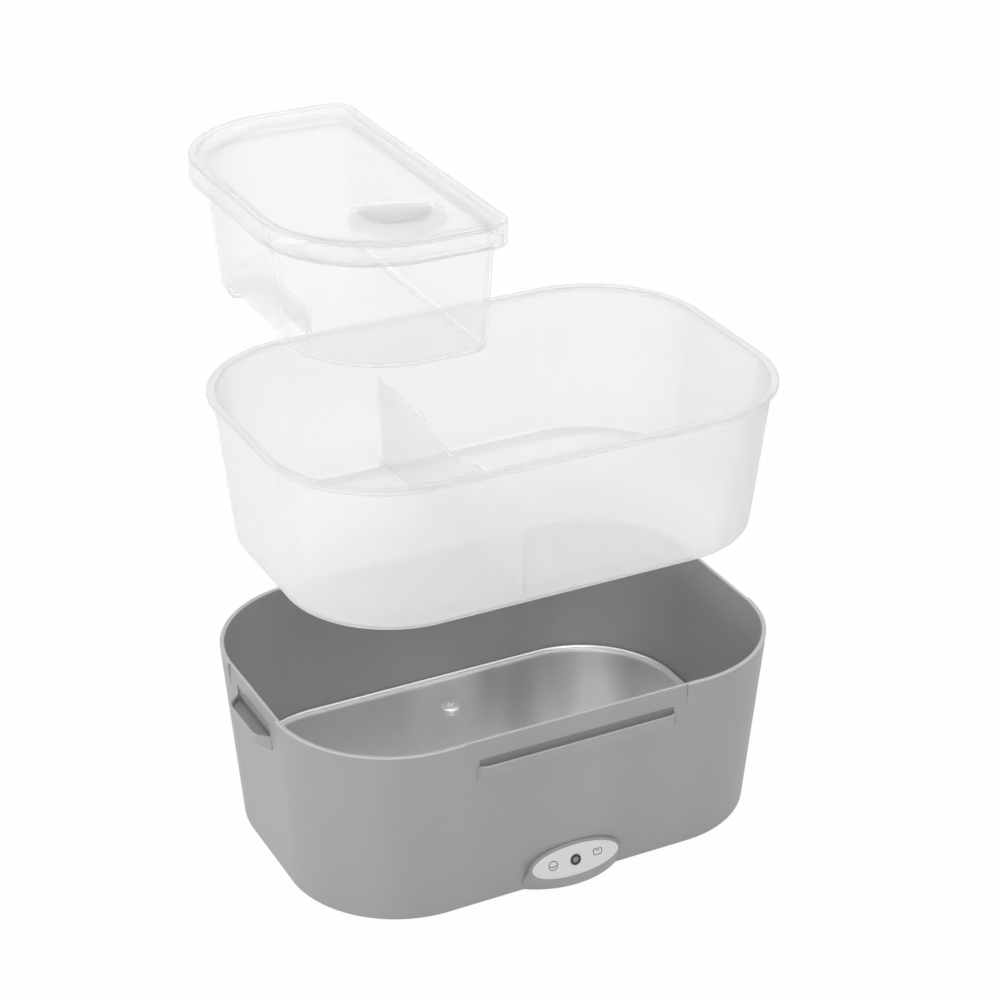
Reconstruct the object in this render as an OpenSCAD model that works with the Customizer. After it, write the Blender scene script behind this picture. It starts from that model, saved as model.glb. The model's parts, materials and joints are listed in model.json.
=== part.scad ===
// Electric lunch box: heated base, frosted food tray with a divider, and a clear
// side box with its own push-on lid. The three bodies stand above one another, as
// they do when the box is opened up, and slide straight down into their seats.

/* [Housing] */
// Length of the housing at its rim
base_x = 230; // [200:1:260]
// Width of the housing at its rim
base_y = 157.8; // [140:0.2:180]
// Height of the housing from its bottom edge to its rim
base_h = 85.2; // [75:0.2:110]
// Draft of the end walls from rim to bottom edge
draft_x = 6.3; // [3:0.1:9]
// Draft of the long walls from rim to bottom edge
draft_y = 5.9; // [3:0.1:9]
// Plan corner radius at the rim
corner_r = 53.2; // [35:0.2:60]
// Plan corner radius at the bottom edge
corner_low_r = 50.6; // [32:0.2:56]
// Wall thickness of the housing
wall = 2; // [1.8:0.1:2.6]
// Rounding of the rim and of the bottom edge
edge_r = 0.5; // [0.3:0.1:0.8]
// Height of the rubber feet below the bottom edge
foot_drop = 1.6; // [1:0.1:4]

/* [Catch lips] */
// Distance from the rim down to the top of a lip
lip_drop = 12.2; // [9:0.1:16]
// Height of a lip where it leaves the wall
lip_h = 6.5; // [4:0.1:9]
// How far a lip on a long wall stands out
lip_out = 2.5; // [2:0.1:5]
// How far a lip on an end wall stands out
lip_end_out = 6; // [3:0.1:8]
// Half length of the lips on the long walls
lip_long = 47; // [35:0.5:52]
// Half length of the lips on the end walls
lip_short = 19; // [14:0.5:24]
// How far each end of a long wall's lip slants in
lip_slant = 2; // [0.5:0.1:3]
// How far each end of an end wall's lip slants in
lip_end_slant = 5.5; // [2:0.1:8]
// Length that the bend of a lip's outer corners takes up
lip_bend = 2; // [1:0.1:2.5]
// Slope of a lip's underside
lip_draft = 24; // [10:1:30]
// Width of the rim round the channel in a lip's top
lip_rim = 0.9; // [0.6:0.1:1.2]
// Depth of the channel in a lip's top
lip_dip = 1.2; // [0.5:0.1:1.6]
// Half length of the upright flat above a lip on a long wall
flat_long = 52.5; // [48:0.5:56]
// Half length of the upright flat above a lip on an end wall
flat_short = 26.2; // [24:0.2:28]
// Depth of the finger groove above a lip
groove_depth = 1; // [0.4:0.1:1.2]
// Radius of the finger groove on a long wall
groove_r = 4; // [3:0.5:8]
// Radius of the finger groove on an end wall
groove_end_r = 16; // [8:0.5:18]

/* [Indicator] */
// Half chord of the boss at the bottom edge
boss_half = 22; // [18:0.5:26]
// How far the boss stands out at the bottom edge
boss_out = 6.5; // [5:0.1:8]
// Tilt of the indicator face from vertical
panel_tilt = 12; // [8:1:16]
// Half length of the oval indicator panel
panel_a = 20.8; // [16:0.2:21]
// Half height of the oval indicator panel
panel_b = 7; // [5.5:0.1:7.5]
// Height of the panel's centre above the bottom edge
panel_up = 11.2; // [10:0.1:13]
// Thickness of the indicator panel
panel_t = 1; // [0.8:0.1:1.4]
// How far the panel stands proud of the boss
panel_proud = 0.3; // [0.1:0.1:0.5]
// Outer radius of the bezel's flange
bezel_r = 2.5; // [2.4:0.1:3.2]
// Bore radius of the bezel
bezel_bore = 1.5; // [1.3:0.1:1.6]
// Length of the bezel behind the panel's face
bezel_len = 4.6; // [4.2:0.1:5.5]
// Length and height of the lamp board
board = [14, 8]; // [6:1:16]
// Thickness of the lamp board
board_t = 1.6; // [1:0.1:2]

/* [Heating plate] */
// Height of the plate's top above the bottom edge
plate_up = 19.5; // [18.5:0.1:24]
// Thickness of the plate
plate_t = 1; // [0.8:0.1:1.2]
// Width of the rolled bead
bead_w = 2.4; // [2:0.1:3]
// Height of the rolled bead above the plate
bead_h = 1.8; // [1.2:0.1:2.2]
// Thickness of the seal under the plate
seal_t = 1.6; // [1:0.1:2]
// Width of the ledge that carries the plate
ledge_w = 5; // [4:0.5:7]
// Thickness of the ledge
ledge_t = 2; // [1.6:0.1:2.4]
// Distance of the domed screw behind the plate's centre
dome_y = 45; // [40:0.5:48]
// Radius of the domed screw's head
dome_r = 4.5; // [3.5:0.1:6]
// Height of the domed screw's head
dome_h = 2.1; // [1.6:0.1:2.1]
// Radius of the domed screw's shank
shank_r = 2; // [1.5:0.1:2.4]

/* [Heater] */
// Length of the heater
heater_x = 110; // [90:1:120]
// Width of the heater
heater_y = 56; // [40:1:60]
// Thickness of the heater
heater_t = 4; // [3:0.1:4.5]
// Width of the clamp strap
strap_w = 16; // [12:0.5:20]
// Thickness of the clamp strap
strap_t = 1.2; // [1:0.1:1.5]
// Height of the clamp nut
nut_h = 3; // [2.4:0.1:3.4]
// Radius of the thermostat
stat_r = 8; // [6:0.5:9]
// Height of the thermostat
stat_h = 5; // [3:0.5:6]
// Radius of the thermal fuse
fuse_r = 1.8; // [1.2:0.1:2]
// Length, width and thickness of the insulation pad
pad = [150, 90, 2.4]; // [1:1:170]

/* [Bottom] */
// Thickness of the bottom cover
cover_t = 2.3; // [2:0.1:2.6]
// Height of the cover's underside above the bottom edge
cover_up = 0.3; // [0.2:0.1:0.6]
// Radius of a rubber foot
foot_r = 7; // [5:0.5:9]
// Half spacing of the feet along X
foot_x = 72; // [60:1:80]
// Half spacing of the feet along Y
foot_y = 46; // [38:1:50]
// Depth of the foot's seat in the cover
foot_seat = 0.8; // [0.5:0.1:1]
// Radius of the cover screws' shanks
screw_r = 1.5; // [1.2:0.1:1.8]
// Radius of the cover screws' heads
head_r = 3; // [2.5:0.1:3.4]
// Length of the cover screws' shanks above the cover
screw_len = 8; // [6:0.5:9]
// Radius of the screw posts
post_r = 4.5; // [4:0.1:5.5]

/* [Mains inlet] */
// Half length of the inlet's flange
inlet_half = 18; // [17:0.5:22]
// Height of the inlet's flange
inlet_h = 12.2; // [11.6:0.1:12.6]
// Thickness of the inlet's flange
inlet_t = 1.5; // [1.2:0.1:2]
// Height of the inlet's axis above the bottom edge
inlet_up = 9; // [8.8:0.1:9.4]
// Half distance between the pins
pin_half = 4.3; // [4:0.1:4.6]
// Radius of a pin
pin_r = 1.2; // [1:0.05:1.3]
// Radius of the socket's two round ends
socket_r = 3.7; // [3.4:0.1:4]
// Depth of the socket
socket_depth = 11.5; // [9:0.5:12]
// Half distance between the inlet's screws
ear_half = 14.2; // [13.6:0.1:15]
// Distance of the supply leads' route from the housing's inner wall
lead_room = 26; // [22:0.5:30]

/* [Food tray] */
// Wall thickness of the tray
tray_wall = 1.4; // [1.1:0.1:1.8]
// Clearance from the housing's wall to the tray at the rim
tray_gap = 0.8; // [0.5:0.1:1.5]
// Clearance from the housing's wall to the tray at the plate
tray_low_gap = 2.3; // [2.2:0.1:4]
// Plan corner radius at the bottom of the tray
tray_low_r = 47; // [32:0.5:52]
// Height of the rolled rim
rim_h = 2.4; // [2:0.1:3.5]
// How far the tray's rim stays inside the housing's rim
rim_back = 0.3; // [0:0.1:1]
// Outer rounding of the tray's bottom edge
tray_edge = 3; // [2:0.1:4]
// Width of the foot ring under the tray
ring_w = 4.4; // [3:0.1:8]
// Height of the tray's floor above its foot ring
ring_h = 2.6; // [2.5:0.1:4]
// Position of the divider along the length
divider_x = -21.5; // [-24:0.5:-10]
// Thickness of the divider
divider_t = 2; // [1.2:0.1:2.4]
// Height of the divider above the foot ring
divider_h = 44.2; // [30:0.2:47]
// Depth of the scoop in the divider's top
scoop_depth = 5; // [2:0.5:8]
// Half length of the scoop's flat part
scoop_flat = 10; // [4:1:20]
// Length of each slope of the scoop
scoop_slope = 19; // [8:1:26]

/* [Side box] */
// Gap between the side box's lid and the divider's face
lid_gap = 7.6; // [6:0.1:14]
// Plan corner radius of the lid at its outer end
lid_round = 47; // [42:0.5:52]
// Plan corner radius of the lid on the divider's side
lid_corner = 9; // [6:0.5:14]
// Wall thickness of the side box and its lid
box_wall = 1.4; // [1.1:0.1:1.6]
// Clearance between the side box and the tray's wall
box_gap = 0.6; // [0.4:0.1:1.2]
// Depth of the side box below its flange
box_depth = 46.5; // [35:0.5:50]
// Draft of the side box's left wall
box_draft_x = 4.3; // [4.2:0.1:7]
// Draft of the side box's long walls
box_draft_y = 5.4; // [5:0.1:12]
// Draft of the wall that faces the divider
box_draft_in = 0.8; // [0.3:0.1:2]
// How far the lid reaches past the wall that faces the divider
box_inset = 4.2; // [3.8:0.1:6]
// Plan corner radius at the box's bottom, outer side
box_low_r = 45; // [32:1:46]
// Plan corner radius of the box, divider's side
box_corner = 7; // [5:0.5:10]
// Rounding of the box's bottom edge
box_edge = 4; // [3:0.5:5]
// Height of the box's upstand above its flange
upstand = 6.8; // [5:0.1:7]
// Thickness of the box's flange
flange_t = 1.5; // [1.2:0.1:2]
// Half width of the notch under the box's outer end
notch_half = 26; // [20:0.5:30]
// Length of the notch from the outer wall
notch_len = 14; // [10:0.5:20]
// Height of the notch at the outer wall
notch_low = 7; // [4:0.5:8]
// Height of the notch at its inner end
notch_high = 10; // [6:0.5:11]

/* [Side lid] */
// Height of the lid's skirt and top together
lid_h = 9.7; // [9:0.1:12]
// Width of the raised border round the lid's top
border_w = 3.4; // [2.5:0.1:5]
// Height of the raised border above the lid's panel
border_h = 1.5; // [0.8:0.1:2]
// Rounding of the lid's outer top edge
lid_edge = 1.2; // [0.6:0.1:1.4]
// Height of the sealing rib under the lid
rib_h = 2.2; // [1.5:0.1:3]
// Thickness of the sealing rib
rib_t = 0.9; // [0.7:0.1:1.2]
// Radius of the thumb dish
thumb_r = 19; // [16:0.2:21]
// Distance of the dish's centre from the lid's divider edge
thumb_x = 35.3; // [30:0.1:44]
// Distance of the dish's centre from the lid's front edge
thumb_y = 28.6; // [26:0.1:34]
// Depth of the thumb dish
thumb_depth = 0.6; // [0.3:0.1:0.8]
// Turn of the finger pocket round the dish
thumb_turn = -17; // [-40:1:40]
// Radius of the finger pocket in the dish's floor
pocket_r = 14.3; // [12:0.1:16]
// Distance of the pocket's centre behind the dish's centre
pocket_back = 8.6; // [7:0.1:12]
// Depth of the finger pocket below the dish's floor
pocket_depth = 3.2; // [1.5:0.1:4]

/* [Seats and layout] */
// Clearance between a seated body and its seat
seat_gap = 0.3; // [0.2:0.05:0.5]
// Clearance round a fixed piece in its recess
fit_gap = 0.1; // [0.05:0.01:0.2]
// Height of the food tray above its seat
tray_raise = 118.5; // [90:0.5:160]
// Height of the side box above its seat
box_raise = 92.1; // [60:0.1:130]

/* [Hidden] */
$fn = 64;
SEGS = 12;
EPS = 0.01;
BIG = 400;

// Levels of the base, from the surface that it stands on
z0 = foot_drop;
cover_top = z0 + cover_up + cover_t;
plate_z = z0 + plate_up;
plate_low = plate_z - plate_t;
ledge_top = plate_low - seal_t;
heater_low = plate_low - heater_t;
strap_low = heater_low - strap_t;
nut_low = strap_low - nut_h;
rim_z = z0 + base_h;
lip_z = rim_z - lip_drop;

// Half sizes and corner radius of the housing's outer skin at a height
function up(z) = (z - z0) / base_h;
function skin_x(z) = base_x / 2 - draft_x * (1 - up(z));
function skin_y(z) = base_y / 2 - draft_y * (1 - up(z));
function skin_r(z) = corner_low_r + (corner_r - corner_low_r) * up(z);

// A plan outline with its own radius at each end, counter-clockwise, at height z
function arc(cx, cy, r, a) =
    [for (i = [0:SEGS]) [cx + r * cos(a + 90 * i / SEGS), cy + r * sin(a + 90 * i / SEGS)]];
function plan(x0, x1, hy, rl, rr) =
    concat(arc(x1 - rr, hy - rr, rr, 0), arc(x0 + rl, hy - rl, rl, 90),
           arc(x0 + rl, rl - hy, rl, 180), arc(x1 - rr, rr - hy, rr, 270));
function at(p, z) = [for (q = p) [q[0], q[1], z]];
function even(hx, hy, r, z) =
    let (s = max(0.3, min(r, hx - 0.2, hy - 0.2))) at(plan(-hx, hx, hy, s, s), z);
function skin(inset, z) =
    even(skin_x(z) - inset, skin_y(z) - inset, skin_r(z) - inset, z);

// A solid through a list of rings; a closed one returns to its first ring
module loft(rings, closed = false) {
    n = len(rings[0]);
    m = len(rings);
    last = closed ? m - 1 : m - 2;
    sides = [for (i = [0:last], j = [0:n - 1], h = [0, 1])
        let (a = i * n + j, b = i * n + (j + 1) % n, k = (i + 1) % m,
             c = k * n + (j + 1) % n, d = k * n + j)
        h == 0 ? [a, d, c] : [a, c, b]];
    caps = closed ? [] : [[for (j = [0:n - 1]) j], [for (j = [0:n - 1]) m * n - 1 - j]];
    polyhedron(points = [for (r = rings) each r], faces = concat(sides, caps));
}

// A round lead through points; its ends are square to its first and last runs
function unit(v) = v / norm(v);
function spline(p, i, t) =
    let (n = len(p) - 1, a = p[max(i - 1, 0)], b = p[i], c = p[i + 1], d = p[min(i + 2, n)])
    0.5 * (2 * b + (c - a) * t + (2 * a - 5 * b + 4 * c - d) * t * t
           + (3 * b - a - 3 * c + d) * t * t * t);
function route(p, steps) =
    concat([for (i = [0:len(p) - 2], k = [0:steps - 1]) spline(p, i, k / steps)],
           [p[len(p) - 1]]);
module lead(p, r, steps = 3, sides = 8) {
    q = route(p, steps);
    n = len(q) - 1;
    rings = [for (i = [0:n])
        let (t = i == 0 ? unit(p[1] - p[0])
                 : i == n ? unit(p[len(p) - 1] - p[len(p) - 2])
                 : unit(q[i + 1] - q[i - 1]),
             s = unit(cross([0, 0, 1], t)), u = cross(t, s))
        [for (j = [0:sides - 1])
            q[i] + r * (cos(360 * j / sides) * s + sin(360 * j / sides) * u)]];
    loft(rings);
}

// ---- Housing ----
panel_y = (skin_y(z0) + boss_out) - 2.4 + 0.02 * (12 - panel_tilt);
panel_z = z0 + panel_up;
boss_r = (boss_half * boss_half + boss_out * boss_out) / (2 * boss_out);

module on_panel() {
    translate([0, -panel_y, panel_z]) rotate([90 - panel_tilt, 0, 0]) children();
}

module oval(a, b, z, h) {
    translate([0, 0, z]) linear_extrude(h) scale([1, b / a]) circle(a);
}

// Part of a disc that stands out past the bottom edge of the front wall
module boss_slice(r, half, back, z, h) {
    y = skin_y(z0) + boss_out - boss_r;
    translate([0, 0, z]) linear_extrude(h) intersection() {
        translate([0, -y]) circle(r);
        translate([-half, -BIG - back]) square([2 * half, BIG]);
    }
}

module boss() {
    difference() {
        hull() {
            on_panel() oval(panel_a + 1.2, panel_b + 1.2, -8, 8);
            boss_slice(boss_r, boss_half, skin_y(z0) - wall, z0, 0.4);
        }
        loft([skin(wall * 0.7, z0 - 5), skin(wall * 0.7, rim_z)]);
    }
}

module boss_room() {
    hull() {
        on_panel() oval(panel_a - 1.2, panel_b - 1, -3.6, 0.9);
        boss_slice(boss_r - 2, boss_half - 3, skin_y(z0) - 4, cover_top, 0.4);
        translate([-boss_half + 3, -skin_y(z0) + wall, cover_top])
            cube([2 * boss_half - 6, 2.4, ledge_top - ledge_t - cover_top - 0.2]);
    }
}

// Points that round the corner b between a and c
function bend(a, b, c, d) =
    let (u = (a - b) / norm(a - b), v = (c - b) / norm(c - b))
    [for (t = [0:0.25:1]) b + u * d * (1 - t) * (1 - t) + v * d * t * t];
lip_root = wall * 0.6;
function lip_half_plan(half, out, slant) =
    concat([[half, 0], [half, lip_root]],
           bend([half, lip_root], [half - slant, lip_root + out], [0, lip_root + out], lip_bend));
function lip_plan(half, out, slant) =
    let (side = lip_half_plan(half, out, slant), n = len(side) - 1)
    concat(side, [for (k = [n:-1:0]) [-side[k][0], side[k][1]]]);

module lip(half, out, slant) {
    translate([0, 0, lip_z - lip_h]) difference() {
        intersection() {
            linear_extrude(lip_h) polygon(lip_plan(half, out, slant));
            translate([-half - 1, 0, 0]) rotate([90, 0, 90]) linear_extrude(2 * half + 2)
                polygon([[0, 0], [lip_root, 0], [lip_root + out, out * tan(lip_draft)],
                         [lip_root + out, lip_h], [0, lip_h]]);
        }
        translate([0, 0, lip_h - lip_dip]) linear_extrude(lip_dip + 1)
            polygon(lip_plan(half - lip_rim, out - lip_rim, slant));
    }
}

// Cuts the upright flat and the finger groove above a lip; y is out from the wall
module lip_cut(half, flat_half, r) {
    translate([-flat_half, 0, lip_z]) cube([2 * flat_half, 10, BIG]);
    translate([-half + 1, r - groove_depth, lip_z]) rotate([0, 90, 0])
        cylinder(r = r, h = 2 * half - 2);
}

module each_side() {
    for (s = [0, 180]) rotate([0, 0, s]) translate([0, skin_y(lip_z), 0]) children(0);
    for (s = [90, 270]) rotate([0, 0, s]) translate([0, skin_x(lip_z), 0]) children(1);
}

module sink_lips(d) {
    for (s = [0, 180]) rotate([0, 0, s]) translate([0, skin_y(lip_z) - d, 0]) children(0);
    for (s = [90, 270]) rotate([0, 0, s]) translate([0, skin_x(lip_z) - d, 0]) children(1);
}

// Screw posts stand in the plan corners, against the wall
post_d = (skin_r(z0) - wall - post_r + 0.8) * cos(45);
post_x = skin_x(z0) - skin_r(z0) + post_d;
post_y = skin_y(z0) - skin_r(z0) + post_d;
module each_post() {
    for (x = [-post_x, post_x], y = [-post_y, post_y]) translate([x, y, 0]) children();
}

inlet_z = z0 + inlet_up;
inlet_seat = skin_y(z0) + 0.3;
inlet_face = inlet_seat + inlet_t;
inlet_body = pin_half + socket_r + 3;
body_h = 10.4;

module housing() {
    color("#9c9c9c") difference() {
        union() {
            difference() {
                loft([skin(edge_r, z0), skin(0, z0 + edge_r),
                      skin(0, rim_z - edge_r), skin(edge_r, rim_z),
                      skin(wall - edge_r, rim_z), skin(wall, rim_z - edge_r),
                      skin(wall, ledge_top), skin(wall + ledge_w, ledge_top),
                      skin(wall + ledge_w, ledge_top - ledge_t),
                      skin(wall, ledge_top - ledge_t),
                      skin(wall, z0)], closed = true);
                each_side() {
                    lip_cut(lip_long, flat_long, groove_r);
                    lip_cut(lip_short, flat_short, groove_end_r);
                }
            }
            sink_lips(lip_root) {
                lip(lip_long, lip_out, lip_slant);
                lip(lip_short, lip_end_out, lip_end_slant);
            }
            boss();
            each_post() translate([0, 0, cover_top])
                cylinder(r = post_r, h = ledge_top - ledge_t / 2 - cover_top);
        }
        boss_room();
        on_panel() {
            oval(panel_a + fit_gap, panel_b + fit_gap, panel_proud - panel_t, 4);
            translate([0, 0, -8]) cylinder(r = barrel_r + fit_gap, h = 12);
        }
        each_post() translate([0, 0, cover_top - 1])
            cylinder(r = screw_r + fit_gap / 2, h = screw_len + 2);
        translate([-inlet_half - fit_gap, inlet_seat, inlet_z - inlet_h / 2 - fit_gap])
            cube([2 * (inlet_half + fit_gap), 10, inlet_h + 2 * fit_gap]);
        translate([-inlet_body - fit_gap, inlet_seat - 6, inlet_z - body_h / 2 - fit_gap])
            cube([2 * (inlet_body + fit_gap), 10, body_h + 2 * fit_gap]);
        for (x = [-ear_half, ear_half]) translate([x, inlet_seat + 5, inlet_z])
            rotate([90, 0, 0]) cylinder(r = ear_r + fit_gap / 2, h = 12);
    }
    color("#9c9c9c") on_panel() for (x = [-5, 5])
        translate([x, 0, board_z + board_t]) cylinder(r = 1.2, h = -2.2 - board_z - board_t);
}

// ---- Indicator, built square to its tilted face ----
barrel_r = bezel_bore + 0.45;
led_flange = 1;
board_z = -bezel_len - fit_gap - led_flange - board_t;

module indicator_panel() {
    color("#dcdcdc") on_panel() difference() {
        oval(panel_a, panel_b, panel_proud - panel_t, panel_t);
        translate([0, 0, -3]) cylinder(r = barrel_r + fit_gap, h = 6);
    }
}

module led_bezel() {
    color("#303030") on_panel() rotate_extrude() polygon([
        [bezel_bore, -bezel_len], [barrel_r, -bezel_len], [barrel_r, panel_proud],
        [bezel_r, panel_proud], [bezel_r, panel_proud + 0.3],
        [bezel_r - 0.3, panel_proud + 0.6], [bezel_bore, panel_proud + 0.5]]);
}

module led_lens() {
    r = bezel_bore - fit_gap / 2;
    color("#8d8d8d") on_panel() intersection() {
        translate([0, 0, -1.2]) cylinder(r = r, h = 3);
        translate([0, 0, panel_proud + 0.5 - 3 * r]) sphere(3 * r);
    }
}

module led() {
    r = bezel_bore - fit_gap;
    low = -bezel_len - fit_gap - led_flange;
    color("#f0f0e0") on_panel() {
        translate([0, 0, low]) cylinder(r = barrel_r, h = led_flange);
        translate([0, 0, low]) cylinder(r = r, h = -1.3 - r - low);
        translate([0, 0, -1.3 - r]) sphere(r);
    }
}

module led_board() {
    color("#3b7a4a") on_panel() translate([-board[0] / 2, -board[1] / 2, board_z])
        cube([board[0], board[1], board_t]);
}

// ---- Bottom ----
module bottom_cover() {
    color("#5c5c5c") difference() {
        union() {
            loft([for (z = [z0 + cover_up, cover_top]) skin(wall + 0.2, z)]);
        }
        each_post() {
            translate([0, 0, z0 - 5]) cylinder(r = screw_r + 0.3, h = 20);
            translate([0, 0, z0 - 5]) cylinder(r = head_r + 0.2, h = 5 + cover_up + 1.2);
        }
        for (x = [-foot_x, foot_x], y = [-foot_y, foot_y])
            translate([x, y, z0 - 5]) cylinder(r = foot_r + fit_gap, h = 5 + cover_up + foot_seat);
    }
}

module rubber_feet() {
    top = z0 + cover_up + foot_seat;
    color("#2c2c2c") for (x = [-foot_x, foot_x], y = [-foot_y, foot_y])
        translate([x, y, 0]) rotate_extrude() polygon([
            [0, 0], [foot_r - 0.8, 0], [foot_r, 0.8], [foot_r, top], [0, top]]);
}

module cover_screws() {
    seat = z0 + cover_up + 1.2;
    color("#b8b8b8") each_post() {
        translate([0, 0, seat - 1.1]) cylinder(r = head_r, h = 1.1);
        translate([0, 0, seat - 0.2]) cylinder(r = screw_r, h = cover_top - seat + screw_len);
    }
}

// ---- Plate and heater ----
edge_gap = 0.2;
function plate_ring(inset, z) =
    let (w = wall + edge_gap, hx = skin_x(plate_low) - w - inset, hy = skin_y(plate_low) - w - inset)
    even(hx, hy, skin_r(plate_low) - w - inset, z);

// Half round bead profile, outer side first
function bead(a) = plate_ring(bead_w / 2 * (1 - cos(a)), plate_z + bead_h * sin(a));

module heating_plate() {
    hook = [strap_w + 4, 1.2];
    y = -heater_y / 2 - 4;
    color("#c9c9c9") {
        difference() {
            loft([plate_ring(0.3, plate_low), plate_ring(0, plate_low + 0.3),
                  bead(0), bead(30), bead(60), bead(90), bead(120), bead(150), bead(180)]);
            translate([0, dome_y, plate_low - 5])
                cylinder(r = shank_r + fit_gap, h = 10);
        }
        // Hook under the plate that holds the front end of the strap
        translate([-hook[0] / 2, y - hook[1], strap_low - seat_gap - hook[1]])
            cube([hook[0], hook[1], plate_low + 0.4 - strap_low + seat_gap + hook[1]]);
        translate([-hook[0] / 2, y - hook[1], strap_low - seat_gap - hook[1]])
            cube([hook[0], hook[1] + 3, hook[1]]);
    }
}

module plate_seal() {
    color("#d8d8d0") loft([plate_ring(ledge_w - 1.4, ledge_top), plate_ring(0.6, ledge_top),
        plate_ring(0.6, plate_low), plate_ring(ledge_w - 1.4, plate_low)], closed = true);
}

module plate_screw() {
    ball = (dome_r * dome_r + 1.2 * 1.2) / (2 * 1.2);
    color("#e0e0e0") translate([0, dome_y, 0]) {
        intersection() {
            translate([0, 0, plate_z]) cylinder(r = dome_r, h = dome_h);
            translate([0, 0, plate_z + dome_h - ball]) sphere(ball);
        }
        translate([0, 0, nut_low - 0.8]) cylinder(r = shank_r, h = plate_z - nut_low + 1.2);
    }
}

module clamp_nut() {
    color("#a8a8a8") translate([0, dome_y, nut_low]) difference() {
        cylinder(r = shank_r * 2, h = nut_h, $fn = 6);
        translate([0, 0, -1]) cylinder(r = shank_r + fit_gap / 2, h = nut_h + 2);
    }
}

tab = [6, 6, 0.8];
tab_y = 9;
tab_z = heater_low + heater_t / 2;

module heater() {
    color("#b9bcc0") {
        translate([-heater_x / 2, -heater_y / 2, heater_low])
            cube([heater_x, heater_y, heater_t]);
        for (y = [-tab_y, tab_y])
            translate([-heater_x / 2 - tab[0], y - tab[1] / 2, tab_z - tab[2] / 2])
                cube([tab[0] + 1, tab[1], tab[2]]);
    }
}

module heater_clamp() {
    back = dome_y + shank_r + 3;
    front = -heater_y / 2 - 4 + 0.4;
    color("#9aa0a6") difference() {
        translate([-strap_w / 2, front, strap_low]) cube([strap_w, back - front, strap_t]);
        translate([0, dome_y, strap_low - 1]) cylinder(r = shank_r + 0.2, h = strap_t + 2);
    }
}

stat_x = -heater_x / 2 - 27;
stat_y = -20;
stat_z = plate_low - stat_h;
stat_tab = [4, 6, 0.8];

module thermostat() {
    color("#c4c4c4") {
        translate([stat_x, stat_y, stat_z]) cylinder(r = stat_r, h = stat_h);
        translate([stat_x - stat_tab[0] / 2, stat_y - stat_r - stat_tab[1], tab_z - stat_tab[2] / 2])
            cube([stat_tab[0], 2 * (stat_r + stat_tab[1]), stat_tab[2]]);
    }
}

module thermal_fuse() {
    start = stat_x + stat_tab[0] / 2;
    end = -heater_x / 2 - tab[0];
    mid = (start + end) / 2;
    color("#d9d2b8") translate([0, -tab_y, tab_z]) rotate([0, 90, 0]) {
        translate([0, 0, start]) cylinder(r = 0.5, h = end - start);
        translate([0, 0, mid - 4.5]) cylinder(r = fuse_r, h = 9);
    }
}

module insulation_pad() {
    r = 12;
    color("#e6e0d0") translate([0, 0, cover_top]) linear_extrude(pad[2]) {
        square([pad[0] - 2 * r, pad[1]], center = true);
        square([pad[0], pad[1] - 2 * r], center = true);
        for (x = [-1, 1], y = [-1, 1])
            translate([x * (pad[0] / 2 - r), y * (pad[1] / 2 - r)]) circle(r);
    }
}

// ---- Mains inlet, on the back wall ----
ear_r = 1.3;
pin_end = inlet_face - socket_depth - 9;

module power_inlet() {
    floor_y = inlet_face - socket_depth;
    color("#262626") difference() {
        union() {
            translate([-inlet_half, inlet_seat, inlet_z - inlet_h / 2])
                cube([2 * inlet_half, inlet_t, inlet_h]);
            translate([-inlet_body, floor_y - 3, inlet_z - body_h / 2])
                cube([2 * inlet_body, inlet_seat - floor_y + 3.2, body_h]);
        }
        for (x = [-pin_half, pin_half]) translate([x, inlet_face + 1, inlet_z])
            rotate([90, 0, 0]) {
                cylinder(r = socket_r, h = socket_depth + 1);
                cylinder(r = pin_r + 0.02, h = socket_depth + 20);
            }
        translate([-pin_half, floor_y, inlet_z - socket_r])
            cube([2 * pin_half, socket_depth + 1, 2 * socket_r]);
        for (x = [-ear_half, ear_half]) translate([x, inlet_face + 1, inlet_z])
            rotate([90, 0, 0]) cylinder(r = ear_r + fit_gap, h = inlet_t + 2);
    }
}

module inlet_pins() {
    color("#c8c8c8") for (x = [-pin_half, pin_half])
        translate([x, inlet_face - 3, inlet_z]) rotate([90, 0, 0])
            cylinder(r = pin_r, h = inlet_face - 3 - pin_end);
}

module inlet_screws() {
    color("#b8b8b8") for (x = [-ear_half, ear_half])
        translate([x, inlet_face, inlet_z]) rotate([90, 0, 0]) {
            translate([0, 0, -1.2]) cylinder(r = 2.4, h = 1.2);
            translate([0, 0, -0.2]) cylinder(r = ear_r, h = 5.2 + inlet_t);
        }
}

// ---- Leads inside the base; the middle points are chosen by hand ----
lead_r = 1.1;
run_z = cover_top + pad[2] + lead_r + 0.8;
stat_end = [stat_x, stat_y - stat_r - stat_tab[1], tab_z];
tab_side = [-heater_x / 2 - tab[0] / 2, tab_y + tab[1] / 2, tab_z];
way_x = skin_x(run_z) - wall - lead_room;
way_y = skin_y(run_z) - wall - lead_room;

module line_lead() {
    x = -pin_half;
    y = pin_end - fit_gap;
    color("#7a4a2a") lead([[x, y, inlet_z], [x, y - 1.5, inlet_z],
        [x - 6, y - 5, run_z], [-way_x / 2, way_y, run_z], [-way_x, way_y * 2 / 3, run_z],
        [stat_x - 13, 0, run_z], [stat_x - 11, -28, run_z + 2],
        [stat_x - 5, stat_end[1] - 5, tab_z - 1.2],
        stat_end - [0, 2.4, 0], stat_end], lead_r);
}

module neutral_lead() {
    x = pin_half;
    y = pin_end - fit_gap;
    color("#3a5f9c") lead([[x, y, inlet_z], [x, y - 1.5, inlet_z],
        [x - 1, y - 7, run_z], [-6, dome_y - 9, run_z], [-30, way_y * 2 / 3, run_z],
        [tab_side[0] + 4, 30, run_z], [tab_side[0] + 1, 20, tab_z - 2.5],
        tab_side + [0, 2.4, 0], tab_side], lead_r);
}

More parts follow.
